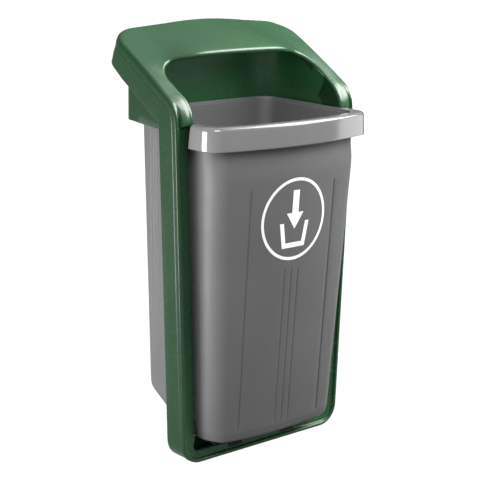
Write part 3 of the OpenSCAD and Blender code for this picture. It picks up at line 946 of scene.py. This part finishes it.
faces = []
for i in range(ns_ - 1):
    for c in range(np_):
        d = (c + 1) % np_
        faces.append((i * np_ + c, (i + 1) * np_ + c, (i + 1) * np_ + d, i * np_ + d))
faces.append(tuple(range(np_)))
faces.append(tuple(range(ns_ * np_ - 1, (ns_ - 1) * np_ - 1, -1)))
rim = raw_object("container_rim", verts, faces)
tidy(rim, 50.0)
n_tub = len(tub.data.polygons)
join(tub, rim)
tub.data.shade_smooth()
tub.data.set_sharp_from_angle(angle=math.radians(45.0))
piece(tub, "tub", "grey_plastic", [grey, grey_rim], "container")
for i, p in enumerate(tub.data.polygons):
    p.material_index = 1 if i >= n_tub else 0

# ---------------------------------------------------------------------------
# Carried-over hardware: finish and a small edge break
# ---------------------------------------------------------------------------
# pivot_brackets, pivot_pins and bracket_screws take the near-black steel, which is painted shade for the dark gap under
# the container
finish_of = {
    "label": film, "pivot_cups": nylon, "tilt_stops": rubber, "back_buffers": rubber, "wall_rail": galv, "pivot_brackets": shade_black_steel,
    "pivot_pins": shade_black_steel, "frame_screws": zinc, "bracket_screws": shade_black_steel, "hood_bolts": zinc, "hood_washers": zinc, "foot_bolts": zinc,
    "foot_washers": zinc, "foot_nuts": zinc, "lock_body": chrome, "lock_nut": zinc, "lock_plug": chrome, "lock_cam": zinc,
    "cam_screw": zinc, "strike_plate": galv, "strike_rivets": alloy}
edge_break = {"wall_rail": 0.8, "tilt_stops": 1.2, "back_buffers": 0.8, "pivot_cups": 0.7, "lock_body": 0.5, "lock_plug": 0.3,
              "pivot_brackets": 0.5, "strike_plate": 0.4, "foot_bolts": 0.4, "foot_nuts": 0.4, "lock_nut": 0.4, "lock_cam": 0.3,
              "frame_screws": 0.5, "bracket_screws": 0.5, "cam_screw": 0.4, "strike_rivets": 0.5, "pivot_pins": 0.5}
for name, mat in finish_of.items():
    ob = nodes[name]
    ob.data.materials.clear()
    ob.data.materials.append(mat)
    for p in ob.data.polygons:
        p.material_index = 0
    if name in edge_break:
        w = ob.modifiers.new("weld", "WELD")
        w.merge_threshold = 2e-6
        md = ob.modifiers.new("edge", "BEVEL")
        md.width = edge_break[name] / 1000.0
        md.segments = 2
        md.limit_method = "ANGLE"
        md.angle_limit = math.radians(50.0)
        md.harden_normals = False

# ---------------------------------------------------------------------------
# Floor, light and camera
# ---------------------------------------------------------------------------
fm = Mat("pale_floor")
fm.set("Base Color", fm.colours(fm.noise(0.6, 3.0), [(0.3, (0.58, 0.58, 0.58)), (0.7, (0.60, 0.60, 0.60))]))
fm.set("Roughness", 0.9)
fm.set("Specular IOR Level", 0.1)
me = bpy.data.meshes.new("floor")
me.from_pydata([(-40, -40, -0.84), (40, -40, -0.84), (40, 40, -0.84), (-40, 40, -0.84)], [], [(0, 1, 2, 3)])
me.materials.append(fm.m)
floor = bpy.data.objects.new("floor", me)
scene.collection.objects.link(floor)

AIM = Vector((0.0, -0.14, 0.05))


def area(name, direction, dist, sx, sy, power, colour=(1, 1, 1), aim=AIM):
    d = bpy.data.lights.new(name, "AREA")
    d.shape = "RECTANGLE"
    d.size, d.size_y = sx, sy
    d.energy = power
    d.color = colour
    o = bpy.data.objects.new(name, d)
    v = Vector(direction).normalized()
    o.location = aim + v * dist
    o.rotation_mode = "QUATERNION"
    o.rotation_quaternion = v.to_track_quat("Z", "Y")
    o.visible_camera = False
    scene.collection.objects.link(o)
    return o


def only(light, *subjects):
    """Flag a light so that it reaches the given objects only."""
    c = bpy.data.collections.new(light.name + "_subjects")
    for s in subjects:
        c.objects.link(s)
    light.light_linking.receiver_collection = c


everything = [o for o in scene.objects if o.type == "MESH" and o is not floor]
for name, way, dist, wide, tall, power in (
        ("key_softbox", (0.63, -0.43, 0.68), 2.2, 1.6, 1.6, 112.0),
        ("top_panel", (0.57, 0.0, 0.82), 2.2, 0.9, 0.9, 7.0),
        ("left_window", (-0.92, 0.24, -0.13), 1.95, 0.90, 0.90, 24.0)):
    only(area(name, way, dist, wide, tall, power), *everything)
for name, way, dist, wide, tall, power in (
        ("rear_panel", (-0.30, 0.92, -0.22), 2.0, 0.5, 1.2, 3.0),
        ("right_panel", (0.92, -0.33, -0.12), 2.4, 1.0, 1.6, 18.0),
        ("rim_strip", (-0.92, 0.24, -0.13), 1.90, 1.04, 0.90, 42.0),
        ("front_panel", (-0.45, -0.70, 0.55), 2.2, 1.0, 1.0, 50.0)):
    only(area(name, way, dist, wide, tall, power), tub)
for name, start, end, power, lit in (("hood_fill", (-70.0, 0.0, 745.0), (130.0, 140.0, 640.0), 0.42, shell),
                                     ("mouth_fill", (-60.0, -20.0, 735.0), (172.0, 20.0, 600.0), 0.50, tub)):
    a, b = Vector(metres(start)), Vector(metres(end))
    o = area(name, a - b, (a - b).length, 0.22, 0.14, power, aim=b)
    o.visible_glossy = lit is tub
    only(o, lit)
side_fill = area("side_fill", (-1.0, -0.06, -0.06), 1.0, 0.5, 0.7, 13.5, aim=Vector((-0.15, -0.23, -0.12)))
side_fill.visible_glossy = False
only(side_fill, tub)
for name, way, wide, long, power in (("floor_near", (2.82, 3.79), 5.8, 8.55, 186.0), ("floor_far", (9.75, 11.4), 11.0, 16.0, 640.0)):
    o = area(name, (0.0, 0.0, 1.0), 1.2 if wide < 8 else 3.0, wide, long, power, aim=Vector((*way, -0.84)))
    o.rotation_quaternion = Quaternion((0.0, 0.0, 1.0), math.radians(-40.7))
    o.data.spread = math.radians(36.0)
    only(o, floor)

world = bpy.data.worlds.new("studio")
world.use_nodes = True
wt = world.node_tree
bg = wt.nodes["Background"]
bg.inputs["Color"].default_value = (1.0, 1.0, 1.0, 1.0)
wc = wt.nodes.new("ShaderNodeTexCoord")
wd = wt.nodes.new("ShaderNodeVectorMath")
wd.operation = "DOT_PRODUCT"
wd.inputs[1].default_value = (0.0, -0.35, 0.94)
wt.links.new(wc.outputs["Generated"], wd.inputs[0])
wm = wt.nodes.new("ShaderNodeMapRange")
wm.interpolation_type = "SMOOTHSTEP"
for k, v in (("From Min", 0.1), ("From Max", 0.9), ("To Min", 0.18), ("To Max", 1.0)):
    wm.inputs[k].default_value = v
wt.links.new(wd.outputs["Value"], wm.inputs["Value"])
wt.links.new(wm.outputs["Result"], bg.inputs["Strength"])
scene.world = world
scene.view_settings.view_transform = "Standard"
scene.view_settings.look = "None"

cam = bpy.data.cameras.new("camera")
cam.sensor_width = 36.0
cam.lens = 36.0 * 1412.0 / 480.0
cam.clip_end = 200.0
co = bpy.data.objects.new("camera", cam)
xr = Vector((0.76047, -0.64920, 0.01490))
dn = Vector((-0.13803, -0.18403, -0.97318))
fw = Vector((0.63453, 0.73802, -0.22956))
fw.normalize()
xr = (xr - fw * xr.dot(fw)).normalized()
dn = fw.cross(xr).normalized()
m = Matrix.Identity(4)
for i in range(3):
    m[i][0], m[i][1], m[i][2] = xr[i], -dn[i], -fw[i]
m.translation = Vector((-1.7050, -2.1095, 0.6239))
co.matrix_world = m
scene.collection.objects.link(co)
scene.camera = co
